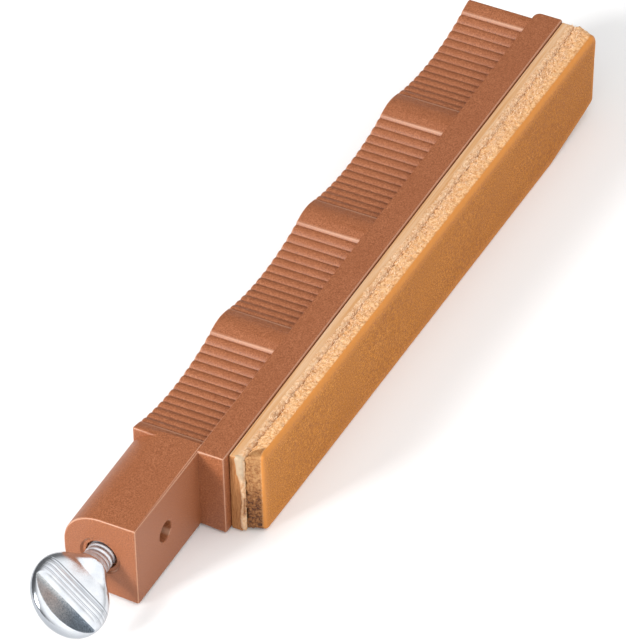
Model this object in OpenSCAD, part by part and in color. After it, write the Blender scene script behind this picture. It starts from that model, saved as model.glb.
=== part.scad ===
// Leather strop on a finger-grip holder, for a sharpening kit whose hones slide on a guide rod.
// Millimetres. The strop lies on its side. X runs from the thumbscrew to the far end, -Y is the
// way the leather faces, and Z is across the width. The origin is the centre of the guide rod
// hole at the flat front face of the boss.

/* [Boss] */
// Distance from the guide rod hole to the thumbscrew end of the boss
boss_near = 8; // [7:0.5:12]
// Distance from the guide rod hole to the near end of the flange
boss_far = 9.4; // [8:0.1:14]
// Width of the boss at its flat front face
body_width = 13.56; // [13:0.02:16]
// Depth of the boss from its flat front face to its rounded back
boss_depth = 11.2; // [10.5:0.1:13]
// Radius of the two rounded corners of the boss's back
boss_round = 5.9; // [4:0.1:6.3]
// Fall of the moulded side faces for each unit of depth, for release from the mould
draft = 0.031; // [0.01:0.001:0.04]

/* [Flange] */
// Length of the flange that the strip is glued to
flange_length = 101.6; // [80:0.1:120]
// How far the flange stands in front of the boss's flat face
flange_front = 3.9; // [3:0.1:6]
// How far the flange reaches behind the boss's flat face
flange_back = 0.35; // [0.2:0.05:1]
// Radius of the flange's rounded back corners at its far end
flange_round = 1; // [0.2:0.1:1.4]

/* [Finger grip] */
// Number of finger scallops along each side
scallops = 4; // [3:1:5]
// Distance from one scallop's middle to the next
scallop_pitch = 25.1; // [24:0.1:26]
// Depth of a scallop below the crests beside it
scallop_depth = 2; // [1:0.1:2.5]
// Radius of the crest between two scallops
crest_radius = 6; // [3:0.5:10]
// Number of small ribs in each scallop
ribs = 13; // [5:1:14]
// Distance from one rib to the next
rib_pitch = 1.49; // [1.2:0.01:1.55]
// Radius of a rib's rounded top
rib_radius = 1.1; // [0.9:0.05:2]
// Distance from the boss's flat face to the back of the grip
grip_back = 10.4; // [9:0.1:11]
// How far the grip starts inside the flange's near end
grip_near_inset = 0.53; // [0.3:0.01:2]
// How far the grip stops short of the flange's far end
grip_far_inset = 1.4; // [1.2:0.1:3]

/* [Guide rod hole] */
// Radius of the guide rod hole
rod_r = 1.6; // [1.5:0.05:2]

/* [Backing strip] */
// Length of the backing strip
strip_length = 100; // [78:0.1:110]
// Width of the backing strip
strip_width = 13.6; // [12:0.1:14]
// Thickness of the backing strip
strip_thickness = 1.6; // [1:0.1:3]
// How far the strip starts inside the flange's near end
strip_inset = 1.4; // [1:0.05:2]
// How far the strip sits below the middle of the holder
strip_drop = 0.2; // [0:0.1:0.5]

/* [Adhesive] */
// Thickness of the adhesive between the flange and the strip
film = 0.1; // [0.1:0.05:0.3]
// Thickness of the adhesive between the strip and the leather
glue_line = 0.5; // [0.3:0.1:0.8]

/* [Leather pad] */
// Length of the leather pad along its upper back edge
leather_length = 101.1; // [78:0.1:111]
// Width of the leather pad
leather_width = 13.7; // [12:0.1:14]
// Thickness of the leather at the near end
leather_near = 2.45; // [2:0.05:3]
// Thickness of the leather at the far end
leather_far = 3.5; // [2:0.05:4]
// How far the near end slopes in from the back of the pad to its face
near_slope = 1.1; // [0:0.1:2]
// How far the far end slopes in from the back of the pad to its face
far_slope = 1.5; // [0:0.1:2]
// How much shorter the pad is along its lower edge
leather_skew = 1.2; // [0:0.1:2]
// Length of the trimmed stretch of the lower edge at the far end
trim_length = 16; // [5:0.5:20]
// How far the lower edge rises along that stretch
trim_rise = 2; // [0:0.1:3]
// Radius of the pad's corners, seen from the front
leather_corner = 1.4; // [0.5:0.1:3]

/* [Thumbscrew] */
// Outside diameter of the screw's thread
thread_d = 4.16; // [4:0.01:4.2]
// Length of the shank from the neck to the tip
shank_length = 8.1; // [7:0.1:8.3]
// Distance that the shank stands out of the boss
shank_out = 2.3; // [2.2:0.1:3]
// Radius of the round paddle
paddle_r = 6.1; // [5:0.1:7]
// Thickness of the paddle
paddle_t = 2.4; // [2:0.1:3]
// Width of the raised band across the paddle
band_width = 2; // [1.5:0.1:3]
// How far the raised band stands above each face of the paddle
band_rise = 0.25; // [0.1:0.05:0.4]
// How far the paddle is turned about the screw's axis from lying flat
paddle_turn = 41; // [-90:1:90]

/* [Hidden] */
$fn = 64;

half_width = body_width / 2;
draft_angle = atan(draft);
flange_end = boss_far + flange_length;
grip_start = boss_far + grip_near_inset;
grip_end = flange_end - grip_far_inset;
first_crest = (grip_start + grip_end - scallops * scallop_pitch) / 2 - 0.2;
crest_fade = 0.3;
arc_steps = 6;

// Valley and crest arcs meet where they share a tangent
arc_sum = (pow(scallop_pitch / 2, 2) + pow(scallop_depth, 2)) / (2 * scallop_depth);
valley_radius = arc_sum - crest_radius;
meet = scallop_pitch / 2 * valley_radius / arc_sum;
rib_height = rib_radius - sqrt(pow(rib_radius, 2) - pow(rib_pitch / 2, 2));
rib_row = ribs * rib_pitch / 2;

screw_y = boss_depth / 2;
screw_clearance = 0.05;
// The threaded hole breaks into the guide rod hole and stops this far short of its axis
screw_hole_end = 0.5;
thread_r = thread_d / 2;
relief_r = 2.45;
relief_depth = 1.2;
sink_r = 3.1;
sink_depth = 0.45;
tip_length = 0.6;
neck_x = -boss_near - shank_out;
neck_length = 3.2;
neck_r = 1;
paddle_x = neck_x - paddle_r + 0.1;

strip_start = boss_far + strip_inset;
strip_top = strip_width / 2 - strip_drop;
strip_back_y = -flange_front - film;
strip_front_y = strip_back_y - strip_thickness;
leather_start = strip_start + 0.35;
leather_top = strip_top + 0.02;
leather_back_y = strip_front_y - glue_line;
reach = 20;
eps = 0.01;

// Half the holder's width at a depth y behind the boss's flat face
function side(y) = half_width - draft * y;

// Height of the grip's side at distance u from a scallop's middle, without ribs
function wave(u) =
    abs(u) <= meet
        ? half_width - scallop_depth + valley_radius - sqrt(pow(valley_radius, 2) - u * u)
        : half_width - crest_radius + sqrt(pow(crest_radius, 2) - pow(scallop_pitch / 2 - abs(u), 2));

// Height of a rib's rounded top above its grooves, at distance w from the rib's middle
function rib(w) = sqrt(pow(rib_radius, 2) - w * w) - sqrt(pow(rib_radius, 2) - pow(rib_pitch / 2, 2));

// Outline of one scallop: smooth land, ribs, smooth land
function land(from, to, steps) = [
    for (i = [0 : steps])
        let (u = from + (to - from) * i / steps)
        [u, wave(u)]
];
function rib_points() = [
    for (n = [0 : ribs - 1], i = [0 : arc_steps - 1])
        let (w = rib_pitch * (i / arc_steps - 0.5), u = -rib_row + rib_pitch * (n + 0.5) + w)
        [u, wave(u) - rib_height + rib(w)]
];
function scallop() = concat(
    land(-scallop_pitch / 2, -rib_row - crest_fade, arc_steps),
    rib_points(),
    [[rib_row, wave(rib_row) - rib_height]],
    land(rib_row + crest_fade, scallop_pitch / 2 - eps, arc_steps)
);
function grip_outline() = [
    for (n = [0 : scallops - 1], p = scallop())
        [first_crest + scallop_pitch * (n + 0.5) + p[0], p[1]]
];

// Extrude an outline in Y and Z along X
module along_x(from, to) {
    translate([from, 0, 0]) rotate([90, 0, 90]) linear_extrude(to - from) children();
}

// Extrude an outline in X and Z along Y
module along_y(from, to) {
    translate([0, to, 0]) rotate([90, 0, 0]) linear_extrude(to - from) children();
}

// Rounded-back outline of the boss, in Y and Z
module boss_outline() {
    straight = boss_depth - boss_round;
    offset_z = side(straight) - boss_round;
    intersection() {
        union() {
            polygon([[0, -side(0)], [straight, -side(straight)],
                     [straight, side(straight)], [0, side(0)]]);
            for (s = [-1, 1]) translate([straight, s * offset_z]) circle(r = boss_round);
            translate([straight, -offset_z]) square([boss_round, 2 * offset_z]);
        }
        translate([0, -reach]) square([reach, 2 * reach]);
    }
}

// Drafted outline of the flange, in Y and Z
module flange_outline() {
    polygon([[-flange_front, -side(-flange_front)], [flange_back, -side(flange_back)],
             [flange_back, side(flange_back)], [-flange_front, side(-flange_front)]]);
}

// Plan of the flange in X and Y, with its far back corner rounded
module flange_plan() {
    translate([boss_far, -flange_front])
        square([flange_length, flange_front + flange_back - flange_round]);
    translate([boss_far, -flange_front])
        square([flange_length - flange_round, flange_front + flange_back]);
    translate([flange_end - flange_round, flange_back - flange_round]) circle(r = flange_round);
}

// One half of the finger grip, tilted by the draft about its front edge
module grip_half() {
    translate([0, 0, half_width]) rotate([-draft_angle, 0, 0]) translate([0, 0, -half_width])
        along_y(-1, grip_back + 1)
            polygon(concat([[first_crest, -1]], grip_outline(),
                           [[first_crest + scallops * scallop_pitch, -1]]));
}

module grip() {
    intersection() {
        union() {
            grip_half();
            mirror([0, 0, 1]) grip_half();
        }
        translate([grip_start, 0, -reach]) cube([grip_end - grip_start, grip_back, 2 * reach]);
    }
}

// Threaded hole for the thumbscrew, with a relief and a shallow sink at its mouth
module screw_hole() {
    translate([-boss_near, screw_y, 0]) rotate([0, 90, 0]) {
        translate([0, 0, -1])
            cylinder(r = thread_r + screw_clearance, h = boss_near - screw_hole_end + 1);
        translate([0, 0, -1]) cylinder(r = relief_r, h = relief_depth + 1);
        translate([0, 0, -1]) cylinder(r = sink_r, h = sink_depth + 1);
    }
}

module holder() {
    color("sienna") difference() {
        union() {
            along_x(-boss_near, grip_start + 1) boss_outline();
            intersection() {
                along_x(boss_far, flange_end) flange_outline();
                translate([0, 0, -reach]) linear_extrude(2 * reach) flange_plan();
            }
            grip();
        }
        screw_hole();
        translate([0, -1, 0]) rotate([-90, 0, 0]) cylinder(r = rod_r, h = boss_depth + 2);
    }
}

module backing_strip() {
    color("burlywood")
        translate([strip_start, strip_front_y, strip_top - strip_width])
            cube([strip_length, strip_thickness, strip_width]);
}

// Thin adhesive between two glued faces, held back from the strip's edges
module adhesive_layer(back_y, thickness, margin) {
    translate([strip_start + margin, back_y - thickness, strip_top - strip_width + margin])
        cube([strip_length - 2 * margin, thickness, strip_width - 2 * margin]);
}

module holder_adhesive() {
    color("wheat") adhesive_layer(-flange_front, film, 0.5);
}

module strop_adhesive() {
    color("ivory") adhesive_layer(strip_front_y, glue_line, 0.1);
}

// Outline of the pad in X and Z: round corners, with the far end askew and its lower edge trimmed
module leather_outline() {
    low = leather_top - leather_width + leather_corner;
    high = leather_top - leather_corner;
    near = leather_start + leather_corner;
    far = leather_start + leather_length - leather_corner;
    corners = [[near, low], [near, high], [far, high], [far - leather_skew, low + trim_rise],
               [far - trim_length, low]];
    hull() for (p = corners) translate(p) circle(r = leather_corner, $fn = 32);
}

// Plan of the pad in X and Y, growing thicker towards its sloping far end
module leather_plan() {
    end = leather_start + leather_length;
    polygon([[leather_start, leather_back_y], [end, leather_back_y],
             [end - far_slope, leather_back_y - leather_far],
             [leather_start + near_slope, leather_back_y - leather_near]]);
}

module leather_pad() {
    color("peru") intersection() {
        along_y(leather_back_y - leather_far, leather_back_y) leather_outline();
        translate([0, 0, -reach]) linear_extrude(2 * reach) leather_plan();
    }
}

module thumbscrew_shank() {
    color("silver") translate([neck_x, screw_y, 0]) rotate([0, 90, 0]) {
        cylinder(r = thread_r, h = shank_length - tip_length);
        translate([0, 0, shank_length - tip_length])
            cylinder(r1 = thread_r, r2 = thread_r - tip_length, h = tip_length);
    }
}

// Round paddle with a rounded rim, lying in X and Y
module paddle() {
    rim = paddle_t / 2;
    rotate_extrude() {
        translate([0, -rim]) square([paddle_r - rim, paddle_t]);
        intersection() {
            translate([paddle_r - rim, 0]) circle(r = rim);
            translate([0, -rim]) square([paddle_r, paddle_t]);
        }
    }
}

// The paddle with its raised band, trimmed flat where it meets the shank
module banded_paddle() {
    difference() {
        translate([paddle_x, 0, 0]) {
            paddle();
            intersection() {
                cylinder(r = paddle_r - 0.6, h = paddle_t + 2 * band_rise, center = true);
                cube([band_width, 2 * paddle_r, paddle_t + 2 * band_rise], center = true);
            }
        }
        translate([neck_x, -reach / 2, -reach / 2]) cube(reach);
    }
}

module thumbscrew_head() {
    color("silver") translate([0, screw_y, 0]) rotate([paddle_turn, 0, 0]) {
        banded_paddle();
        translate([neck_x, 0, 0]) rotate([0, -90, 0])
            cylinder(r1 = thread_r, r2 = neck_r, h = neck_length);
    }
}

holder();
backing_strip();
holder_adhesive();
strop_adhesive();
leather_pad();
thumbscrew_shank();
thumbscrew_head();
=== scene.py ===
"""Looks of the leather strop: moulded holder, backing strip, squeezed glue, leather pad, thumbscrew.

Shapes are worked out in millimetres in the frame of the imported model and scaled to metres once,
when a mesh is made.
"""
import itertools
import math

import bmesh
import bpy
import numpy as np
from mathutils import Matrix, Vector


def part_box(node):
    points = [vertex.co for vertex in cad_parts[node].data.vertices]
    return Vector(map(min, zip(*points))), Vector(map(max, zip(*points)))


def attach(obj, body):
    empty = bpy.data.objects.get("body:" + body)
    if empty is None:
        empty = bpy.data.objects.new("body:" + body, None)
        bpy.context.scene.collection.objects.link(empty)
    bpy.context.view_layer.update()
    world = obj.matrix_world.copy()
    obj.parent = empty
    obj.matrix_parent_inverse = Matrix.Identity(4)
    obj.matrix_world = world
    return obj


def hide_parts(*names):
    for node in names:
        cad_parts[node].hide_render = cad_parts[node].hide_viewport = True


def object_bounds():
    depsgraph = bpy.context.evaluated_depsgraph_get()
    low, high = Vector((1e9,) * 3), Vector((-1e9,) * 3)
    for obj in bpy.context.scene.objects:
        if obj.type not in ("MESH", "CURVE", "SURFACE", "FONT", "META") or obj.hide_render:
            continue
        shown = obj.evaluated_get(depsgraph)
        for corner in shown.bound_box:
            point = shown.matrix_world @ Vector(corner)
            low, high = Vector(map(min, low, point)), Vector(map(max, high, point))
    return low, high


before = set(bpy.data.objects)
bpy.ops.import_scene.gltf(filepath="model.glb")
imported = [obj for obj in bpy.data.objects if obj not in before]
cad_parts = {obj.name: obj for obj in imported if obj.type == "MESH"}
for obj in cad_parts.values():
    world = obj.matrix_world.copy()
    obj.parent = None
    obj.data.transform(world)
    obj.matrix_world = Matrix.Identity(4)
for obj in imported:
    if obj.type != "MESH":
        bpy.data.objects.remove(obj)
CAD_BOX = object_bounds()
MM = 0.001


def node_box(node):
    """Lowest and highest corner of a CAD node, in millimetres."""
    low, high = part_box(node)
    return np.array(low) / MM, np.array(high) / MM


HOLDER_LOW, HOLDER_HIGH = node_box("holder")
STRIP_LOW, STRIP_HIGH = node_box("backing_strip")
FILM_LOW, FILM_HIGH = node_box("holder_adhesive")
GLUE_LOW = node_box("strop_adhesive")[0]
PAD_LOW, PAD_HIGH = node_box("leather_pad")
SHANK_LOW, SHANK_HIGH = node_box("thumbscrew_shank")
HEAD_LOW = node_box("thumbscrew_head")[0]

# ---------------------------------------------------------------- sizes in millimetres
DRAFT = 0.031  # slope of the holder's sides towards its back
FLANGE_NEAR = 9.4
FLANGE_BACK = 0.35
FLANGE_FRONT = -HOLDER_LOW[1]
HALF_WIDTH = HOLDER_HIGH[2] - DRAFT * FLANGE_FRONT
FLANGE_FAR = HOLDER_HIGH[0]
FLANGE_FAR_ROUND = 1.0
BOSS_NEAR = HOLDER_LOW[0]
BOSS_BACK = HOLDER_HIGH[1]
BOSS_ROUND = 5.9
GRIP_NEAR = FLANGE_NEAR + 0.53
GRIP_FAR = FLANGE_FAR - 1.4
GRIP_BACK = 10.4
SCALLOPS = 4
SCALLOP_PITCH = 25.1
SCALLOP_DEPTH = 2.0
CREST_RADIUS = 6.0
FIRST_CREST = (GRIP_NEAR + GRIP_FAR - SCALLOPS * SCALLOP_PITCH) / 2 - 0.2
RIBS = 13
RIB_PITCH = 1.49
RIB_RADIUS = 1.1
EDGE = 0.32
ROD_RADIUS = 1.6
MOUTH_RING = (2.85, 2.38)  # outer and inner radius of the step round the threaded hole
MOUTH_DEPTHS = (0.3, 1.2)
THREADED_END = -0.5
SCREW_Y = BOSS_BACK / 2
THREAD_RADIUS = (SHANK_HIGH[2] - SHANK_LOW[2]) / 2
THREAD_PITCH = 0.79375
THREAD_DEPTH = 0.14
NECK_X = SHANK_LOW[0]
STRIP_EDGE = 0.1
STRIP_MIDDLE = (-4.6, -5.0)  # depths of two rings between the strip's rounded edges
GLUE_BACK = -5.15
# The glue's section: share of the way from its back to its front, and how far it stands out.
GLUE_SECTION = ((-0.3, -0.7), (0.0, -0.1), (0.06, 0.01), (0.22, 0.06), (0.38, 0.09),
                (0.52, 0.1), (0.62, 0.06), (0.72, 0.0), (0.84, -0.05), (1.0, -0.5))
GLUE_HOLLOWED = 0.45  # share from which the glue has hollows and gaps
PAD_NEAR_FACE = -8.55
NEAR_SLOPE = 1.1
FAR_SLOPE = 1.5
TRIM_LENGTH = 16
TRIM_RISE = 2.1
PAD_SKEW = 1.6
PAD_SINK = 0.12  # how far the pad's back is sunk in the glue
END_BLEND = 6  # length over which a sloped end fades out
# The pad's undercut back: depth in front of its back, and how far it is cut in.
UNDERCUT = ((0, 1.4), (0.05, 0.24), (0.14, 0.14), (0.26, 0.08), (0.4, 0.02))
FACE_SHARES = (0.96, 0.9, 0.8, 0.65, 0.45, 0.25, 0.08)  # rings across the pad's face
STRANDS_TRIED = 4200
STRAND_RINGS = 5
STRAND_SIDES = 3
PADDLE_RADIUS = 6.08
PADDLE_HALF = 1.42
PADDLE_EDGE = 2.0
NECK_BLEND = 1.7
PADDLE_X = HEAD_LOW[0] + PADDLE_RADIUS
PADDLE_TURN = math.radians(41)
# The grooved band: each groove's place along the paddle, half width, depth and strength of its
# painted shade.
BAND_GROOVES = ((1.52, 0.1, 0.1, 1.0), (1.12, 0.24, 0.02, 0.35), (0.82, 0.06, 0.04, 0.7),
                (0.34, 0.07, 0.05, 0.75), (0.14, 0.05, 0.03, 0.5), (-0.4, 0.07, 0.05, 0.75),
                (-0.62, 0.05, 0.03, 0.5))


# ---------------------------------------------------------------- view and light, in metres
LENS = 428.06
SENSOR = 36
VIEW_FROM = (-0.62777, -0.37532, 0.71148)
VIEW_FORWARD = (0.64154, 0.35937, -0.67770)
VIEW_RIGHT = (0.46910, -0.88282, -0.02406)
FLOOR_SIZE = 6
KEY_TOWARDS = (-0.77, 0.45, 0.43)
KEY_DISTANCE = 0.8
KEY_SIZE = (0.25, 0.25)
KEY_POWER = 7.5
SKY_TOWARDS = (-0.15, -0.7, 0.7)  # where the surroundings are brightest


# ---------------------------------------------------------------- mesh helpers
def make_object(name, points, faces, material, attributes=()):
    """A mesh object from points in millimetres."""
    mesh = bpy.data.meshes.new(name)
    mesh.from_pydata((np.asarray(points) * MM).tolist(), [], faces)
    for key, values in dict(attributes).items():
        layer = mesh.attributes.new(key, "FLOAT", "POINT")
        layer.data.foreach_set("value", np.asarray(values, np.float32))
    mesh.validate()
    obj = bpy.data.objects.new(name, mesh)
    bpy.context.scene.collection.objects.link(obj)
    if material:
        mesh.materials.append(material)
    return obj


def smooth(obj, angle=35):
    """Smooth shading that keeps edges sharper than the angle, with flat faces left flat."""
    for polygon in obj.data.polygons:
        polygon.use_smooth = True
    obj.data.set_sharp_from_angle(angle=math.radians(angle))
    weighted = obj.modifiers.new("weighted", "WEIGHTED_NORMAL")
    weighted.keep_sharp = True
    weighted.weight = 100


def loft(rings, cap_first=True, cap_last=True):
    """Points and faces of a tube through closed rings that all hold the same number of points."""
    count = len(rings[0])
    faces = []
    for i in range(len(rings) - 1):
        for j in range(count):
            k = (j + 1) % count
            faces.append((i * count + j, i * count + k, (i + 1) * count + k, (i + 1) * count + j))
    if cap_first:
        faces.append(tuple(range(count))[::-1])
    if cap_last:
        faces.append(tuple(range((len(rings) - 1) * count, len(rings) * count)))
    return np.concatenate(rings), faces


def outline(corners, spacing=1e9, arc_steps=6):
    """Closed outline with rounded corners given as (a, b, radius), anticlockwise.

    Returns its points and their outward normals. Straight stretches get a point at each spacing.
    """
    places = np.array([c[:2] for c in corners], float)
    radii = [c[2] for c in corners]
    onward = np.roll(places, -1, axis=0) - places
    lengths = np.linalg.norm(onward, axis=1)
    onward /= lengths[:, None]
    inward = np.roll(onward, 1, axis=0)
    turns = np.arctan2(inward[:, 0] * onward[:, 1] - inward[:, 1] * onward[:, 0],
                       (inward * onward).sum(axis=1))
    cuts = radii * np.tan(turns / 2)
    points, normals = [], []
    for i, radius in enumerate(radii):
        normal = np.array([inward[i][1], -inward[i][0]])
        centre = places[i] - inward[i] * cuts[i] - normal * radius
        steps = max(arc_steps, math.ceil(turns[i] * radius / spacing))
        for angle in np.linspace(0, turns[i], steps + 1):
            c, s = math.cos(angle), math.sin(angle)
            turned = np.array([normal[0] * c - normal[1] * s, normal[0] * s + normal[1] * c])
            points.append(centre + turned * radius)
            normals.append(turned)
        run = lengths[i] - cuts[i] - cuts[(i + 1) % len(radii)]
        for share in np.linspace(0, 1, math.ceil(run / spacing) + 1)[1:-1]:
            points.append(places[i] + onward[i] * (cuts[i] + run * share))
            normals.append(normals[-1])
    return np.array(points), np.array(normals)


def outline_normals(points):
    """Outward normals of a closed anticlockwise outline of many points."""
    ahead = np.roll(points, -1, axis=0) - points
    ahead /= np.linalg.norm(ahead, axis=1)[:, None]
    along = ahead + np.roll(ahead, 1, axis=0)
    along /= np.linalg.norm(along, axis=1)[:, None]
    return np.stack([along[:, 1], -along[:, 0]], axis=1)


def rounding(radius, steps=4):
    """(depth below an end face, inset from the sides) along a rounded edge, from the face."""
    angles = [math.pi / 2 * k / steps for k in range(steps + 1)]
    return [(radius * (1 - math.cos(a)), radius * (1 - math.sin(a))) for a in angles]


def lattice_random(cells, seed):
    """A number from 0 to 1 for each whole-number cell, the same on every run."""
    mixed = (cells[..., 0] * 73856093) ^ (cells[..., 1] * 19349663) ^ (cells[..., 2] * 83492791)
    mixed = (mixed ^ (seed * 40503001)) & 0x7FFFFFFF
    mixed = (mixed ^ (mixed >> 13)) * 1274126177 & 0x7FFFFFFF
    mixed = (mixed ^ (mixed >> 16)) * 668265263 & 0x7FFFFFFF
    return (mixed & 0xFFFFFF) / float(0xFFFFFF)


def lumps(points, size, seed):
    """Smooth noise from -1 to 1 over points in millimetres, with lumps about that size."""
    scaled = np.asarray(points, float) / size
    cell = np.floor(scaled).astype(np.int64)
    part = scaled - cell
    part = part * part * (3 - 2 * part)
    total = np.zeros(len(scaled))
    for corner in itertools.product((0, 1), repeat=3):
        weight = np.ones(len(scaled))
        for axis, side in enumerate(corner):
            weight *= part[:, axis] if side else 1 - part[:, axis]
        total += weight * lattice_random(cell + np.array(corner), seed)
    return total * 2 - 1


def combine(obj, other, operation):
    """Applies a boolean of another object, which is then removed."""
    modifier = obj.modifiers.new("combine", "BOOLEAN")
    modifier.operation = operation
    modifier.object = other
    modifier.solver = "EXACT"
    evaluated = obj.evaluated_get(bpy.context.evaluated_depsgraph_get())
    mesh = bpy.data.meshes.new_from_object(evaluated)
    obj.modifiers.clear()
    obj.data = mesh
    bpy.data.objects.remove(other)
    return obj


def piece(obj, body, slot, *nodes):
    """Hands a finished piece to its CAD body, with the nodes that it stands for."""
    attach(obj, body)
    if nodes:
        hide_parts(*nodes)
    return obj


# ---------------------------------------------------------------- materials
class Nodes:
    """Short names for building one material's nodes."""

    def __init__(self, name):
        self.material = bpy.data.materials.new(name)
        self.material.use_nodes = True
        self.tree = self.material.node_tree
        self.tree.nodes.clear()
        self.output = self.tree.nodes.new("ShaderNodeOutputMaterial")
        self.shader = self.tree.nodes.new("ShaderNodeBsdfPrincipled")
        self.tree.links.new(self.shader.outputs[0], self.output.inputs["Surface"])
        self.place = self.tree.nodes.new("ShaderNodeTexCoord").outputs["Object"]

    def link(self, source, target):
        """Joins an output socket to an input socket."""
        self.tree.links.new(source, target)

    def stretched(self, scale):
        """Object coordinates in millimetres, scaled along each axis."""
        mapping = self.tree.nodes.new("ShaderNodeMapping")
        mapping.inputs["Scale"].default_value = [s / MM for s in scale]
        self.link(self.place, mapping.inputs["Vector"])
        return mapping.outputs[0]

    def noise(self, scale, detail=2.0, roughness=0.5, distortion=0.0):
        node = self.tree.nodes.new("ShaderNodeTexNoise")
        node.inputs["Scale"].default_value = 1.0
        node.inputs["Detail"].default_value = detail
        node.inputs["Roughness"].default_value = roughness
        node.inputs["Distortion"].default_value = distortion
        self.link(self.stretched(scale), node.inputs["Vector"])
        return node.outputs["Fac"]

    def ramp(self, source, stops):
        """A colour ramp from stops of (place, colour)."""
        node = self.tree.nodes.new("ShaderNodeValToRGB")
        points = node.color_ramp.elements
        while len(points) < len(stops):
            points.new(0.5)
        for point, (where, colour) in zip(points, stops):
            point.position = where
            point.color = (*colour, 1)
        self.link(source, node.inputs[0])
        return node.outputs[0]

    def between(self, source, low, high, to_low=0.0, to_high=1.0):
        node = self.tree.nodes.new("ShaderNodeMapRange")
        node.inputs["From Min"].default_value = low
        node.inputs["From Max"].default_value = high
        node.inputs["To Min"].default_value = to_low
        node.inputs["To Max"].default_value = to_high
        self.link(source, node.inputs["Value"])
        return node.outputs[0]

    def mix(self, factor, first, second, blend="MIX"):
        node = self.tree.nodes.new("ShaderNodeMix")
        node.data_type = "RGBA"
        node.blend_type = blend
        for socket, value in ((node.inputs[0], factor), (node.inputs[6], first),
                              (node.inputs[7], second)):
            if isinstance(value, bpy.types.NodeSocket):
                self.link(value, socket)
            elif isinstance(value, (int, float)):
                socket.default_value = value
            else:
                socket.default_value = (*value, 1)
        return node.outputs[2]

    def maths(self, operation, first, second=None):
        node = self.tree.nodes.new("ShaderNodeMath")
        node.operation = operation
        for socket, value in zip(node.inputs, (first, second)):
            if isinstance(value, bpy.types.NodeSocket):
                self.link(value, socket)
            elif value is not None:
                socket.default_value = value
        return node.outputs[0]

    def attribute(self, name):
        node = self.tree.nodes.new("ShaderNodeAttribute")
        node.attribute_name = name
        return node.outputs["Fac"]

    def coordinate(self, axis):
        """One object coordinate in millimetres."""
        node = self.tree.nodes.new("ShaderNodeSeparateXYZ")
        self.link(self.stretched((1, 1, 1)), node.inputs[0])
        return node.outputs[axis]

    def bump(self, height, distance, strength=1.0):
        node = self.tree.nodes.new("ShaderNodeBump")
        node.inputs["Distance"].default_value = distance * MM
        node.inputs["Strength"].default_value = strength
        self.link(height, node.inputs["Height"])
        self.link(node.outputs[0], self.shader.inputs["Normal"])

    def set(self, **values):
        """Uniform values of the shader's own sockets, named with _ for a space."""
        for key, value in values.items():
            self.shader.inputs[key.replace("_", " ")].default_value = value


def srgb(red, green, blue):
    """Linear colour of an sRGB colour given from 0 to 255."""
    return tuple(((c / 255 + 0.055) / 1.055) ** 2.4 for c in (red, green, blue))


def plastic():
    """Red-brown moulded plastic, finely grained, with a painted highlight along its rounded edges.
    """
    n = Nodes("moulded_plastic")
    fine = n.noise((5.5, 5.5, 5.5), detail=3, roughness=0.8)
    broad = n.noise((0.12, 0.12, 0.12), detail=2)
    speck = n.ramp(fine, [(0.36, srgb(116, 61, 28)), (0.5, srgb(143, 83, 48)),
                          (0.64, srgb(172, 109, 73))])
    colour = n.mix(n.between(broad, 0.35, 0.65, 0.0, 0.25), speck, srgb(138, 78, 43))
    # Painted highlight: the rounded outer edges are lightened where they would catch the light.
    colour = n.mix(n.maths("MULTIPLY", n.attribute("wear_and_highlight"), 0.55), colour, srgb(212, 168, 140))
    n.link(colour, n.shader.inputs["Base Color"])
    n.link(n.between(fine, 0.3, 0.7, 0.42, 0.6), n.shader.inputs["Roughness"])
    n.bump(fine, 0.06, 0.6)
    n.set(Specular_IOR_Level=0.5)
    return n.material


def wood():
    """Pale wood with streaks along its length, browner on the cut ends, from darker end grain with
    painted shade.
    """
    n = Nodes("pale_wood")
    grain = n.noise((0.06, 2.2, 1.1), detail=4, roughness=0.6, distortion=0.6)
    fine = n.noise((1.2, 9, 9), detail=2)
    side_colour = n.ramp(grain, [(0.32, srgb(186, 136, 84)), (0.5, srgb(198, 158, 118)),
                                 (0.68, srgb(206, 174, 142))])
    pores = n.noise((3, 7, 0.8), detail=3, roughness=0.7)
    end_grain_and_shade_colour = n.ramp(pores, [(0.3, srgb(136, 84, 42)), (0.5, srgb(166, 112, 66)),
                                (0.7, srgb(186, 132, 84))])
    colour = n.mix(n.between(fine, 0.3, 0.7, 0.0, 0.25), side_colour, srgb(190, 130, 76))
    # The cut ends get darker end grain colour with painted shade mixed in.
    colour = n.mix(n.attribute("end_grain_and_shade"), colour, end_grain_and_shade_colour)
    n.link(colour, n.shader.inputs["Base Color"])
    n.link(n.between(fine, 0.2, 0.8, 0.5, 0.7), n.shader.inputs["Roughness"])
    n.bump(fine, 0.04, 0.5)
    n.set(Specular_IOR_Level=0.3)
    return n.material


def glue():
    """Cream glue, greyer where it is smeared, with brown painted shade in its hollows and gaps."""
    n = Nodes("dried_glue")
    spots = n.noise((2.2, 2.2, 2.2), detail=4, roughness=0.7)
    colour = n.ramp(spots, [(0.36, srgb(186, 136, 92)), (0.46, srgb(204, 160, 118)),
                            (0.6, srgb(214, 180, 144))])
    colour = n.mix(n.attribute("smeared"), colour, srgb(180, 158, 130))
    # Painted shade: brown in the glue's hollows and gaps, and over the film under the strip.
    colour = n.mix(n.attribute("pit"), colour, srgb(132, 80, 42))
    n.link(colour, n.shader.inputs["Base Color"])
    n.link(n.between(spots, 0.3, 0.7, 0.65, 0.4), n.shader.inputs["Roughness"])
    n.bump(spots, 0.08, 0.6)
    n.set(Specular_IOR_Level=0.4)
    return n.material


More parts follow.
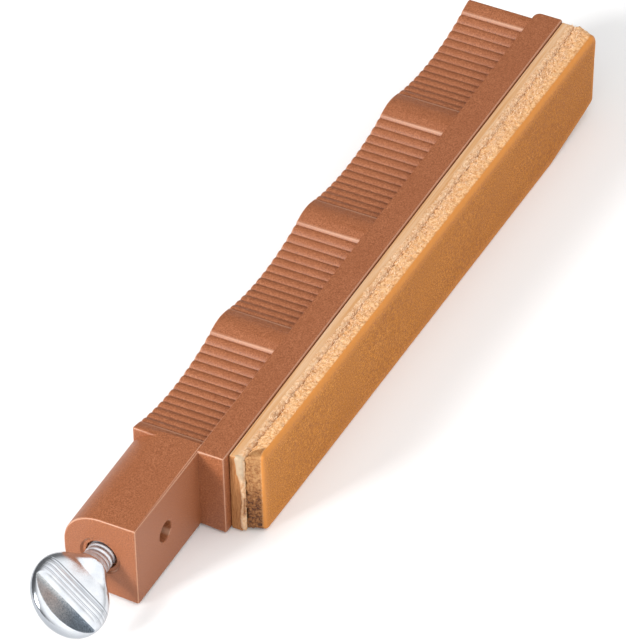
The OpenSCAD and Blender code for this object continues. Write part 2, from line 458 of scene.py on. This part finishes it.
def leather():
    """Tan grain face with an orange rim partly painted as a highlight, a rough pale cut edge with
    painted shade in its pits and darker along the glue joint, and a singed near end with painted
    shade, paler towards its top.
    """
    n = Nodes("strop_leather")
    fibres = n.noise((3.4, 3.4, 3.4), detail=4, roughness=0.8)
    grain = n.noise((4.2, 4.2, 4.2), detail=3, roughness=0.8)
    blotch = n.noise((2.0, 2.0, 2.0), detail=5, roughness=0.8)
    broad = n.noise((0.1, 0.3, 0.2), detail=2)
    cut = n.ramp(fibres, [(0.32, srgb(172, 110, 56)), (0.44, srgb(204, 150, 98)),
                          (0.58, srgb(226, 186, 142))])
    # Painted shade in the cut edge's sunk pits; darker along the glue joint.
    cut = n.mix(n.maths("MULTIPLY", n.attribute("pit"), 0.5), cut, srgb(160, 102, 54))
    # Painted light and shade: the singed near end is paler towards its top and darker low down.
    painted_top_light = n.maths("MULTIPLY", n.between(n.coordinate(2), -2.0, 3.0), 0.14)
    singed = n.ramp(n.maths("ADD", blotch, painted_top_light),
                    [(0.36, srgb(48, 30, 26)), (0.46, srgb(102, 62, 36)),
                     (0.56, srgb(142, 94, 54)), (0.7, srgb(170, 126, 82))])
    cut = n.mix(n.attribute("singed"), cut, singed)
    face = n.ramp(grain, [(0.38, srgb(136, 76, 18)), (0.5, srgb(172, 107, 34)),
                          (0.62, srgb(206, 140, 62))])
    face = n.mix(n.between(broad, 0.35, 0.65, 0.0, 0.3), face, srgb(160, 97, 30))
    far = n.between(n.coordinate(0), 10, 110)
    face = n.mix(far, face, (0.86, 0.8, 0.68), "MULTIPLY")
    # Orange rim on the rounded face edge, partly a painted highlight.
    face = n.mix(n.attribute("rim"), face, srgb(196, 128, 62))
    colour = n.mix(n.attribute("skin"), cut, face)
    n.link(colour, n.shader.inputs["Base Color"])
    n.link(n.between(grain, 0.3, 0.7, 0.45, 0.65), n.shader.inputs["Roughness"])
    n.bump(fibres, 0.1, 0.6)
    n.set(Specular_IOR_Level=0.18)
    return n.material


def fluff():
    """Pale loose fibre."""
    n = Nodes("pale_fibre")
    shade = n.noise((1.5, 1.5, 1.5), detail=2)
    colour = n.ramp(shade, [(0.3, srgb(216, 170, 122)), (0.7, srgb(244, 218, 186))])
    n.link(colour, n.shader.inputs["Base Color"])
    n.link(n.between(shade, 0.3, 0.7, 0.6, 0.8), n.shader.inputs["Roughness"])
    n.bump(shade, 0.01, 0.3)
    return n.material


def metal(name, dullness):
    """Plating with painted shade in its grooves and along its rim, speckled on the rough facet,
    which has painted shade across it.
    """
    n = Nodes(name)
    cast = n.attribute("cast")
    smear = n.noise((0.5, 0.5, 0.5), detail=3)
    fine = n.noise((7, 7, 7), detail=3, roughness=0.7)
    bright = n.ramp(smear, [(0.3, srgb(200, 204, 210)), (0.7, srgb(222, 225, 229))])
    dull = n.ramp(fine, [(0.38, srgb(128, 136, 142)), (0.62, srgb(204, 202, 200))])
    dark = n.ramp(fine, [(0.38, srgb(56, 66, 78)), (0.62, srgb(140, 150, 160))])
    # Painted shade along the rim, darkening the plating towards the outline.
    bright = n.mix(n.attribute("painted_rim_shade"), bright, srgb(150, 155, 162))
    # Painted shade across the facet, from pale grey to dark slate.
    colour = n.mix(cast, bright, n.mix(n.attribute("painted_facet_shade"), dull, dark))
    # Painted shade in the band's grooves, for the reflections there.
    colour = n.mix(n.attribute("groove_shade"), colour, srgb(92, 98, 108))
    n.link(colour, n.shader.inputs["Base Color"])
    wear_and_highlight = n.between(smear, 0.3, 0.7, 0.14 + dullness, 0.24 + dullness)
    n.link(n.maths("ADD", wear_and_highlight, n.maths("MULTIPLY", cast, 0.12)), n.shader.inputs["Roughness"])
    n.bump(fine, 0.015, 0.35)
    n.set(Metallic=1.0)
    return n.material


# ---------------------------------------------------------------- holder
def side(y):
    """Half the holder's width at depth y."""
    return HALF_WIDTH - DRAFT * y


def boss():
    """Round-backed block along X, with its near end and front edges rounded."""
    flat, normals = outline([(0, -side(0), EDGE), (BOSS_BACK, -side(BOSS_BACK), BOSS_ROUND),
                             (BOSS_BACK, side(BOSS_BACK), BOSS_ROUND), (0, side(0), EDGE)], 0.7)
    rings = []
    for depth, inset in rounding(EDGE):
        ring = flat - normals * inset
        rings.append(np.column_stack([np.full(len(ring), BOSS_NEAR + depth), ring]))
    rings.append(np.column_stack([np.full(len(flat), GRIP_NEAR + 1.0), flat]))
    return make_object("boss", *loft(rings), None)


def flange():
    """Long block under the strip, drafted towards its back, with rounded edges."""
    flat, normals = outline([(FLANGE_NEAR, -FLANGE_FRONT, EDGE), (FLANGE_FAR, -FLANGE_FRONT, EDGE),
                             (FLANGE_FAR, FLANGE_BACK, FLANGE_FAR_ROUND),
                             (FLANGE_NEAR, FLANGE_BACK, EDGE)])
    rings = []
    for depth, inset in rounding(EDGE):
        ring = flat - normals * inset
        rings.append(np.column_stack([ring, side(ring[:, 1]) - depth]))
    lower = [ring * (1, 1, -1) for ring in rings[::-1]]
    points, faces = loft(rings + lower)
    return make_object("flange", points, [f[::-1] for f in faces], None)


def wave(u):
    """Height of the grip's side at distance u from a scallop's middle, without its ribs."""
    arcs = ((SCALLOP_PITCH / 2) ** 2 + SCALLOP_DEPTH ** 2) / (2 * SCALLOP_DEPTH)
    valley = arcs - CREST_RADIUS
    meet = SCALLOP_PITCH / 2 * valley / arcs
    low = HALF_WIDTH - SCALLOP_DEPTH + valley - np.sqrt(np.maximum(valley ** 2 - u * u, 0))
    reach = np.minimum(SCALLOP_PITCH / 2 - np.abs(u), CREST_RADIUS)
    high = HALF_WIDTH - CREST_RADIUS + np.sqrt(CREST_RADIUS ** 2 - reach ** 2)
    return np.where(np.abs(u) <= meet, low, high)


def grip_side():
    """Points (x, z) along one ribbed side of the grip, from its near end to its far end."""
    bottom = math.sqrt(RIB_RADIUS ** 2 - (RIB_PITCH / 2) ** 2)
    row = RIBS * RIB_PITCH / 2
    across = np.linspace(-0.5, 0.5, 11)[:-1] * RIB_PITCH
    rib = np.sqrt(RIB_RADIUS ** 2 - across ** 2) - bottom
    rib_u = (-row + RIB_PITCH * (np.arange(RIBS)[:, None] + 0.5) + across).ravel()
    rib_z = wave(rib_u) - (RIB_RADIUS - bottom) + np.tile(rib, RIBS)
    half = SCALLOP_PITCH / 2
    fade = 0.25
    before = np.linspace(-half, -row - fade, 9)
    after = np.linspace(row + fade, half, 9)[:-1]
    end = np.array([[row, wave(np.array(row)) - (RIB_RADIUS - bottom)]])
    scallop = np.concatenate([np.column_stack([before, wave(before)]),
                              np.column_stack([rib_u, rib_z]), end,
                              np.column_stack([after, wave(after)])])
    middles = FIRST_CREST + SCALLOP_PITCH * (np.arange(SCALLOPS) + 0.5)
    run = np.concatenate([scallop + (middle, 0) for middle in middles])
    inside = (run[:, 0] > GRIP_NEAR + EDGE) & (run[:, 0] < GRIP_FAR - EDGE)
    return run[inside]


def grip():
    """Scalloped and ribbed block behind the flange, drafted towards its back."""
    run = grip_side()
    near_z = np.interp(GRIP_NEAR + EDGE, run[:, 0], run[:, 1])
    far_z = np.interp(GRIP_FAR - EDGE, run[:, 0], run[:, 1])
    angles = np.linspace(0, math.pi / 2, 5)
    near = np.column_stack([GRIP_NEAR + EDGE * (1 - np.cos(angles)),
                            near_z - EDGE * (1 - np.sin(angles))])
    far = np.column_stack([GRIP_FAR - EDGE * (1 - np.sin(angles)),
                           far_z - EDGE * (1 - np.cos(angles))])
    top = np.concatenate([near, run, far])
    flat = np.concatenate([top * (1, -1), top[::-1]])
    normals = outline_normals(flat)
    rings = []
    for y, inset in [(-1.0, 0)] + [(GRIP_BACK - d, i) for d, i in rounding(EDGE)][::-1]:
        ring = flat - normals * inset
        z = ring[:, 1] - np.sign(ring[:, 1]) * DRAFT * y
        rings.append(np.column_stack([ring[:, 0], np.full(len(ring), y), z]))
    points, faces = loft(rings)
    return make_object("grip", points, [f[::-1] for f in faces], None)


def drill(radius, start, end, mouth=0.0):
    """Round cutter between two points, opening a little at its start."""
    start, end = np.array(start, float), np.array(end, float)
    axis = (end - start) / np.linalg.norm(end - start)
    first = np.cross(axis, (0.3, 0.2, 1.0))
    first /= np.linalg.norm(first)
    second = np.cross(axis, first)
    angles = np.linspace(0, 2 * math.pi, 65)[:-1]
    circle = np.outer(np.cos(angles), first) + np.outer(np.sin(angles), second)
    rings = [start - axis * 1.0 + circle * (radius + mouth + 1.0 * (mouth > 0)),
             start + circle * (radius + mouth), start + axis * mouth + circle * radius,
             end + circle * radius]
    if not mouth:
        rings = [rings[0], rings[3]]
    return make_object("drill", *loft(rings), None)


def mark_edge_highlights(obj):
    """Writes how much painted highlight each point gets: 1 along the middle of a rounded outer edge,
    0 elsewhere.
    """
    work = bmesh.new()
    work.from_mesh(obj.data)
    wear_and_highlight = [0.0] * len(work.verts)
    # The steps of a rounded edge bend by more than a flat side does and less than a corner.
    for edge in work.edges:
        bend = math.degrees(edge.calc_face_angle_signed(0.0)) if edge.is_manifold else 0
        if not 15 < bend < 60:
            continue
        for vert in edge.verts:
            slant = 1 - max(abs(c) for c in vert.normal)
            wear_and_highlight[vert.index] = max(wear_and_highlight[vert.index], min(max((slant - 0.15) / 0.12, 0), 1))
    work.free()
    # This attribute carries the painted edge highlight.
    layer = obj.data.attributes.new("wear_and_highlight", "FLOAT", "POINT")
    layer.data.foreach_set("value", wear_and_highlight)


def holder():
    """The moulding: flange, grip and boss in one, with its rod hole and threaded hole."""
    body = combine(combine(flange(), grip(), "UNION"), boss(), "UNION")
    mouth = (BOSS_NEAR, SCREW_Y, 0)
    cuts = [drill(ROD_RADIUS, (0, 0, 0), (0, BOSS_BACK + 2, 0), 0.12),
            drill(MOUTH_RING[0], mouth, (BOSS_NEAR + MOUTH_DEPTHS[0], SCREW_Y, 0), 0.25),
            drill(MOUTH_RING[1], mouth, (BOSS_NEAR + MOUTH_DEPTHS[1], SCREW_Y, 0)),
            drill(THREAD_RADIUS + 0.05, mouth, (THREADED_END, SCREW_Y, 0))]
    for cut in cuts:
        combine(body, cut, "DIFFERENCE")
    body.name = "moulded_holder"
    mark_edge_highlights(body)
    body.data.materials.append(plastic())
    smooth(body)
    return piece(body, "grip_body", "holder_plastic", "holder")


# ---------------------------------------------------------------- strip, glue and leather
def upright_outline(low, high, radius, spacing):
    """Rounded outline in x and z of a box's broad face, with its normals."""
    corners = [(low[0], low[2], radius), (high[0], low[2], radius),
               (high[0], high[2], radius), (low[0], high[2], radius)]
    return outline(corners, spacing)


def xz_ring(flat, y):
    """Points of an outline in x and z, set at depth y."""
    return np.column_stack([flat[:, 0], np.broadcast_to(y, len(flat)), flat[:, 1]])


def strip():
    """Thin wooden backing with softened edges and a faintly uneven sawn surface."""
    flat, normals = upright_outline(STRIP_LOW, STRIP_HIGH, 0.25, 0.5)
    rings = []
    for depth, inset in rounding(STRIP_EDGE, 3):
        rings.append(xz_ring(flat - normals * inset, STRIP_HIGH[1] - depth))
    for y in STRIP_MIDDLE:
        rings.append(xz_ring(flat, y))
    for depth, inset in rounding(STRIP_EDGE, 3)[::-1]:
        rings.append(xz_ring(flat - normals * inset, STRIP_LOW[1] + depth))
    points, faces = loft(rings)
    uneven = np.column_stack([points[:, 0] / 4, points[:, 1:] * 2])
    points -= np.tile(np.column_stack([normals[:, 0], 0 * normals[:, 0], normals[:, 1]]),
                      (len(rings), 1)) * (0.02 + 0.02 * lumps(uneven, 1.3, 3))[:, None]
    from_end = np.minimum(points[:, 0] - STRIP_LOW[0], STRIP_HIGH[0] - points[:, 0])
    # Mask of the cut ends, for their end grain colour and painted shade.
    end_grain_and_shade = np.clip(1.3 - from_end / 0.15, 0, 1)
    obj = make_object("backing", points, faces, wood(), {"end_grain_and_shade": end_grain_and_shade})
    smooth(obj)
    return piece(obj, "grip_body", "strip_wood", "backing_strip")


def glue_film():
    """Thin layer that holds the strip to the holder, with a slightly ragged rim and brown painted
    shade all over.
    """
    flat, normals = upright_outline(FILM_LOW, FILM_HIGH, 0.4, 0.5)
    middle = (FILM_LOW[1] + FILM_HIGH[1]) / 2
    rings = []
    for y, inset in ((FILM_HIGH[1], -0.2), (middle, -0.3), (FILM_LOW[1], -0.25)):
        ragged = inset + 0.1 * lumps(xz_ring(flat, y), 1.5, 11)
        rings.append(xz_ring(flat - normals * ragged[:, None], y))
    points, faces = loft(rings)
    # The whole film carries brown painted shade, for the shaded joint between flange and strip.
    obj = make_object("holder_film", points, faces, glue(), {"pit": np.full(len(points), 0.8)})
    smooth(obj)
    return piece(obj, "grip_body", "adhesive", "holder_adhesive")


def glue_bead():
    """Squeezed-out glue round the joint of strip and leather, smeared high on the near end."""
    flat, normals = upright_outline(STRIP_LOW, STRIP_HIGH, 0.4, 0.11)
    near_end = np.clip((STRIP_LOW[0] + 0.8 - flat[:, 0]) / 0.4, 0, 1)
    smear = near_end * np.clip((flat[:, 1] - 1.8) / 1.8, 0, 1)
    gap = near_end * np.clip(4.5 - 5 * np.abs(np.abs(flat[:, 1] + 2.4) - 0.75), 0, 1)
    gappy = (0.25 + 0.3 * np.clip((42 - flat[:, 0]) / 14, 0, 1)) * (1 - 0.6 * near_end)
    underside = np.clip((-6 - flat[:, 1]) / 0.6, 0, 1)
    low_blob = near_end * np.clip(1.5 - np.abs(flat[:, 1] + 5.2), 0, 1)
    back = GLUE_BACK + 0.2 * lumps(xz_ring(flat, 0), 1.6, 21) + smear * 0.35
    back -= 0.4 * near_end * (1 - smear)
    front = np.full(len(flat), GLUE_LOW[1] - 0.02)
    rings, crevice_shade_rings, smears = [], [], []
    for share, out in GLUE_SECTION:
        y = back + (front - back) * share
        spot = xz_ring(flat, y)
        reach = np.full(len(flat), out)
        pit = np.zeros(len(flat))
        if -0.2 < share < 0.9:
            ripple = 0.05 * lumps(spot, 0.7, 22) + 0.04 * lumps(spot, 0.3, 23)
            reach = reach + ripple * (1 - 0.6 * smear) + 0.1 * low_blob
            hollowed = share > GLUE_HOLLOWED
            hollow = np.clip(lumps(spot, 0.6, 24) * 1.8 - 0.1, 0, 1) * gappy * hollowed
            reach = reach - hollow * 0.12 - gap * hollowed * 0.7
            reach = reach - underside * np.maximum(reach + 0.15, 0)
            # Painted shade mask for the hollows and gaps.
            pit = np.clip(hollow * 0.8 + gap, 0, 1) * hollowed
        crevice_shade_rings.append(pit)
        smears.append(smear * (share < 0.9))
        rings.append(xz_ring(flat + normals * reach[:, None], y))
    points, faces = loft(rings, False, False)
    count = len(flat)
    last = (len(rings) - 1) * count
    faces += [(last + j, last + (j + 1) % count, (j + 1) % count, j) for j in range(count)]
    layers = {"pit": np.concatenate(crevice_shade_rings), "smeared": np.concatenate(smears)}
    obj = make_object("glue_bead", points, faces, glue(), layers)
    smooth(obj, 60)
    return piece(obj, "grip_body", "adhesive", "strop_adhesive")


def pad_outline(spacing):
    """Outline of the pad in x and z: its far end askew and its lower edge trimmed there."""
    near, low = PAD_LOW[0], PAD_LOW[2]
    far, high = PAD_HIGH[0], PAD_HIGH[2]
    corners = [(near, low, 1.2), (far - TRIM_LENGTH, low, 5),
               (far - PAD_SKEW, low + TRIM_RISE, 0.9), (far, high, 1.4), (near, high, 0.5)]
    return outline(corners, spacing)


def face_y(x):
    """Depth of the leather's working face, which leans out a little towards the far end."""
    share = (x - PAD_LOW[0]) / (PAD_HIGH[0] - PAD_LOW[0])
    return PAD_NEAR_FACE + (PAD_LOW[1] - PAD_NEAR_FACE) * share


def leather_pad():
    """Thick leather with a rough cut edge, a smooth rounded grain face and an undercut back."""
    flat, normals = pad_outline(0.14)
    from_near = flat[:, 0] - PAD_LOW[0]
    ends = np.clip(1 - np.minimum(from_near, PAD_HIGH[0] - flat[:, 0]) / 3, 0, 1)
    near_cut = np.clip(1 - from_near / 1.5, 0, 1)
    round_off = 0.55 + 0.2 * ends * (1 - near_cut) - 0.25 * near_cut
    back = PAD_HIGH[1] + PAD_SINK
    front = face_y(flat[:, 0])
    rings = []
    layers = {"skin": [], "pit": [], "rim": [], "singed": []}

    def add(y, inset, rough, skin, rim=0.0):
        """One ring of the pad, roughened and sloped at its ends, with its surface layers."""
        spot = xz_ring(flat, y)
        coarse = lumps(spot, 0.6, 31)
        fine = lumps(spot, 0.28, 32)
        sunk = rough * (np.clip(0.5 * coarse + 0.6 * fine, -0.3, 1) * 0.15 + 0.05)
        ring = xz_ring(flat - normals * (inset + sunk)[:, None], y)
        face = face_y(ring[:, 0])
        forward = np.clip((back - ring[:, 1]) / (back - face), 0, 1)
        flare = np.clip((26 - ring[:, 0]) / 14, 0, 1) * (ring[:, 2] > 0)
        ring[:, 2] += flare * (0.22 - 0.5 * np.clip(1 - forward * 2.2, 0, 1) ** 2)
        at_near = np.clip((PAD_LOW[0] + END_BLEND - ring[:, 0]) / 5, 0, 1)
        ring[:, 0] += NEAR_SLOPE * forward * at_near
        at_far = np.clip((ring[:, 0] + END_BLEND - PAD_HIGH[0]) / 5, 0, 1)
        ring[:, 0] -= FAR_SLOPE * forward * at_far
        rings.append(ring)
        edge = fine * 0.4 * (0.1 < skin < 0.9)
        layers["skin"].append(np.clip(skin + edge, 0, 1))
        # Darker band along the glue joint; the noise below adds painted shade in the sunk pits.
        joint = np.clip(1.2 - (back - spot[:, 1]) / 0.5, 0, 1) * (fine > -0.2)
        layers["pit"].append(np.clip(rough * (0.8 * coarse + fine - 0.35) + joint, 0, 1))
        layers["rim"].append(np.full(len(flat), rim))
        reach = 0.4 + 2.3 * np.sqrt(forward) + 0.3 * coarse
        # Singed colour on the near end, which also carries painted shade, reaching further along the
        # cut towards the face.
        layers["singed"].append(np.clip(1 - (from_near - reach) / 0.2, 0, 1) * (1 - skin))

    for step, inset in UNDERCUT:
        ragged = inset + 0.3 * lumps(xz_ring(flat, back), 0.5, 33) * (step > 0) * (inset > 0.05)
        add(back - step, np.maximum(ragged, 0), 1.0, 0.0)
    for share in np.linspace(0, 1, 13):
        y = (back - 0.52) * (1 - share) + (front + round_off) * share
        layer = float(np.clip((share - 0.88) / 0.12, 0, 1))
        add(y, 0.0, 1.0 - 0.7 * layer, layer, layer)
    for angle in np.linspace(0, math.pi / 2, 8)[1:]:
        inset = round_off * (1 - math.cos(angle))
        # Orange rim colour with a painted highlight, strongest where the rounding leaves the cut
        # edge.
        rim_colour_and_highlight = float(np.clip(1.6 - 0.7 * angle, 0, 1))
        add(front + round_off * (1 - math.sin(angle)), inset, 0.0, 1.0, rim_colour_and_highlight)
    last = rings[-1][:, [0, 2]]
    half = (PAD_HIGH[2] - PAD_LOW[2]) / 2
    spine = np.column_stack([np.clip(last[:, 0], PAD_LOW[0] + half, PAD_HIGH[0] - half),
                             np.full(len(last), PAD_LOW[2] + half)])
    for share in FACE_SHARES:
        inner = spine + (last - spine) * share
        rings.append(xz_ring(inner, face_y(inner[:, 0])))
        wear_and_highlight = max(share - 0.8, 0) * 2.2
        for name, values in layers.items():
            values.append(np.full(len(last), {"skin": 1.0, "rim": wear_and_highlight}.get(name, 0.0)))
    values = {name: np.concatenate(parts) for name, parts in layers.items()}
    obj = make_object("leather_strop", *loft(rings), leather(), values)
    smooth(obj, 60)
    return piece(obj, "grip_body", "leather", "leather_pad")


def strand(start, heading, arch, length, thickness):
    """Points of a bent three-sided thread lying on the leather's edge."""
    across = np.array([-heading[1], heading[0], 0.0])
    points = []
    for i in range(STRAND_RINGS):
        share = i / (STRAND_RINGS - 1)
        rise = 4 * arch * share * (1 - share)
        centre = start + heading * length * share + np.array([0, 0, rise])
        width = thickness * (0.5 + 2 * share * (1 - share))
        for angle in (0.5, 2.6, 4.7):
            points.append(centre + across * width * math.cos(angle)
                          + np.array([0, 0, width * math.sin(angle)]))
    return np.array(points)


def fibres():
    """Loose pale fibres along the upper cut edge of the leather, more towards the far end."""
    rng = np.random.default_rng(5)
    points, faces = [], []
    ring = [(i, (i + 1) % STRAND_SIDES) for i in range(STRAND_SIDES)]
    for _ in range(STRANDS_TRIED):
        x = 14 + 97 * rng.random() ** 0.65
        y = -5.5 - 2.4 * rng.random() ** 2
        angle = rng.uniform(0, 2 * math.pi)
        heading = np.array([math.cos(angle), math.sin(angle) * 0.7, 0])
        length = rng.uniform(0.25, 0.8)
        start = np.array([x, y, PAD_HIGH[2] - 0.1 + 0.07 * rng.random()])
        end_y = y + heading[1] * length
        if end_y > -5.1 or end_y < -8.1 or x + length > PAD_HIGH[0] - 1.2:
            continue
        base = len(points) * STRAND_RINGS * STRAND_SIDES
        points.append(strand(start, heading, rng.uniform(0.03, 0.2), length,
                             rng.uniform(0.022, 0.04)))
        for i in range(STRAND_RINGS - 1):
            here = base + STRAND_SIDES * i
            onward = here + STRAND_SIDES
            for j, k in ring:
                faces.append((here + j, here + k, onward + k, onward + j))
        end = base + STRAND_SIDES * (STRAND_RINGS - 1)
        faces.append((base + 2, base + 1, base))
        faces.append((end, end + 1, end + 2))
    obj = make_object("leather_fibres", np.concatenate(points), faces, fluff())
    smooth(obj, 80)
    return piece(obj, "grip_body", "leather")


# ---------------------------------------------------------------- thumbscrew
def shank():
    """Threaded rod of the thumbscrew, a right-hand thread that fades out below the head."""
    start, end = NECK_X - 0.3, SHANK_HIGH[0]
    xs = np.linspace(start, end, 150)
    angles = np.linspace(0, 2 * math.pi, 73)[:-1]
    rings = []
    for x in xs:
        phase = x / THREAD_PITCH - angles / (2 * math.pi)
        valley = (0.5 - 0.5 * np.cos(2 * math.pi * phase)) ** 1.2
        fade = min(max((x - NECK_X - 0.5) / 0.9, 0), 1)
        radius = THREAD_RADIUS - 0.02 - THREAD_DEPTH * valley * fade
        radius = np.minimum(radius, THREAD_RADIUS - 0.5 + (end - x))
        rings.append(np.column_stack([np.full(len(angles), x), SCREW_Y + radius * np.cos(angles),
                                      radius * np.sin(angles)]))
    points, faces = loft(rings)
    obj = make_object("threaded_shank", points, faces, metal("dull_plating", 0.3))
    smooth(obj, 50)
    return piece(obj, "screw_shank", "screw_metal", "thumbscrew_shank")


def head_outline(a, b):
    """Distance outside the paddle's outline, seen along its normal (negative inside)."""
    disc = np.hypot(a, b) - PADDLE_RADIUS
    neck = np.maximum(np.abs(b) - THREAD_RADIUS, 3.0 - a)
    blend = np.maximum(NECK_BLEND - np.abs(disc - neck), 0) / NECK_BLEND
    return np.minimum(disc, neck) - blend ** 2 * NECK_BLEND / 4


def head_height(a, b):
    """Height of the paddle's face over its middle plane, where it is rough, and the painted shade of
    its grooves.
    """
    inside = np.maximum(-head_outline(a, b), 0)
    towards_neck = np.clip((a - 3.8) / 2.2, 0, 1)
    towards_neck = towards_neck ** 2 * (3 - 2 * towards_neck)
    top = PADDLE_HALF + (THREAD_RADIUS - PADDLE_HALF) * towards_neck
    width = PADDLE_EDGE + (THREAD_RADIUS - PADDLE_EDGE) * towards_neck
    rim = top * np.sqrt(1 - (1 - np.minimum(inside / width, 1)) ** 2)
    groove_shade = np.zeros(np.shape(inside))
    for place, half, depth, shade in BAND_GROOVES:
        hollow = np.maximum(1 - ((a - place) / half) ** 2, 0)
        rim = rim - hollow * depth * np.clip(inside / 0.8, 0, 1)
        # Painted shade along each groove.
        groove_shade = np.maximum(groove_shade, hollow * shade * (inside > 0.35))
    drop = np.clip((-1.0 - a) / 0.9, 0, 1)
    drop = drop ** 0.6
    facet = 1.6 - (1.6 - 0.62) * drop + 0.19 * np.maximum(-1.9 - a, 0)
    cast = (a < -1.7) & (facet < rim)
    return np.where(a < -1.0, np.minimum(rim, facet), rim), cast, groove_shade


def head():
    """Two-sided paddle of the thumbscrew: a grooved band across it and a sunk far facet."""
    reach = NECK_X - PADDLE_X
    far = -PADDLE_RADIUS + 4.2 * np.linspace(0, 1, 60) ** 1.7
    places = np.concatenate([far, np.arange(-1.88, 1.9, 0.026), np.linspace(1.9, reach, 55)])
    places[0] = -PADDLE_RADIUS + 0.002
    turns = np.linspace(0, 2 * math.pi, 129)[:-1]
    probe = np.linspace(0, PADDLE_RADIUS + 0.2, 600)
    turn_cos = math.cos(PADDLE_TURN)
    turn_sin = math.sin(PADDLE_TURN)
    rings = []
    layers = {"cast": [], "groove_shade": [], "painted_facet_shade": [], "painted_rim_shade": []}
    for a in places:
        within = probe[head_outline(a, probe) < 0]
        half = within[-1] if len(within) else 0.02
        b = half * np.cos(turns)
        height, cast, groove_shade = head_height(a, b)
        c = height * np.sign(np.sin(turns)) * (np.abs(np.sin(turns)) > 1e-6)
        rings.append(np.column_stack([np.full(len(b), PADDLE_X + a),
                                      SCREW_Y + b * turn_cos - c * turn_sin,
                                      b * turn_sin + c * turn_cos]))
        layers["cast"].append(cast.astype(float))
        layers["groove_shade"].append(groove_shade)
        # Painted shade across the facet, growing as b falls.
        layers["painted_facet_shade"].append(np.clip((1.6 - b) / 4, 0, 1))
        # Painted shade near the paddle's outline.
        layers["painted_rim_shade"].append(np.clip(0.8 + head_outline(a, b) * 1.6, 0, 1) * (a < 4.5))
    points, faces = loft(rings)
    values = {name: np.concatenate(parts) for name, parts in layers.items()}
    obj = make_object("paddle_head", points, faces, metal("bright_plating", 0.0), values)
    smooth(obj, 40)
    return piece(obj, "screw_head", "screw_metal", "thumbscrew_head")


# ---------------------------------------------------------------- camera and light
def camera():
    """The view at the photo's angle, with its small roll."""
    data = bpy.data.cameras.new("view")
    data.lens = LENS
    data.sensor_width = SENSOR
    data.clip_start = 0.05
    data.clip_end = 20
    obj = bpy.data.objects.new("view", data)
    bpy.context.scene.collection.objects.link(obj)
    forward = Vector(VIEW_FORWARD).normalized()
    right = Vector(VIEW_RIGHT)
    right = (right - forward * right.dot(forward)).normalized()
    up = right.cross(forward)
    turn = Matrix((right, up, -forward)).transposed()
    obj.matrix_world = Matrix.Translation(Vector(VIEW_FROM)) @ turn.to_4x4()
    bpy.context.scene.camera = obj


def area(name, place, aim, size, power):
    """Rectangular lamp at a place, turned towards its aim."""
    data = bpy.data.lights.new(name, "AREA")
    data.shape = "RECTANGLE"
    data.size, data.size_y = size
    data.energy = power
    obj = bpy.data.objects.new(name, data)
    bpy.context.scene.collection.objects.link(obj)
    obj.location = place
    obj.rotation_euler = (Vector(aim) - Vector(place)).to_track_quat("-Z", "Y").to_euler()


def sky():
    """Soft surroundings, brightest high up on the leather's side and dim at the far end."""
    world = bpy.data.worlds.new("studio")
    bpy.context.scene.world = world
    world.use_nodes = True
    tree = world.node_tree
    coordinates = tree.nodes.new("ShaderNodeTexCoord")
    towards = tree.nodes.new("ShaderNodeVectorMath")
    towards.operation = "DOT_PRODUCT"
    towards.inputs[1].default_value = SKY_TOWARDS
    shade = tree.nodes.new("ShaderNodeMapRange")
    shade.interpolation_type = "SMOOTHSTEP"
    for name, value in (("From Min", 0.1), ("From Max", 0.8), ("To Min", 0.2), ("To Max", 1.5)):
        shade.inputs[name].default_value = value
    tree.links.new(coordinates.outputs["Generated"], towards.inputs[0])
    tree.links.new(towards.outputs["Value"], shade.inputs["Value"])
    tree.links.new(shade.outputs[0], tree.nodes["Background"].inputs["Strength"])
    tree.nodes["Background"].inputs["Color"].default_value = (1, 1, 1, 1)


def studio():
    """Pale floor under the object, the key light, the surroundings and a plain view transform."""
    low, high = CAD_BOX
    middle = (low + high) / 2
    bpy.ops.mesh.primitive_grid_add(x_subdivisions=2, y_subdivisions=2, size=FLOOR_SIZE,
                                    location=(middle.x, middle.y, low.z))
    floor = bpy.context.object
    floor.name = "floor"
    n = Nodes("pale_floor")
    n.set(Base_Color=(0.9, 0.9, 0.9, 1), Roughness=0.9, Specular_IOR_Level=0.1)
    floor.data.materials.append(n.material)
    area("key", middle + Vector(KEY_TOWARDS) * KEY_DISTANCE, middle, KEY_SIZE, KEY_POWER)
    sky()
    scene = bpy.context.scene
    scene.view_settings.view_transform = "Standard"
    scene.view_settings.look = "None"


camera()
studio()
holder()
strip()
glue_film()
glue_bead()
leather_pad()
fibres()
shank()
head()
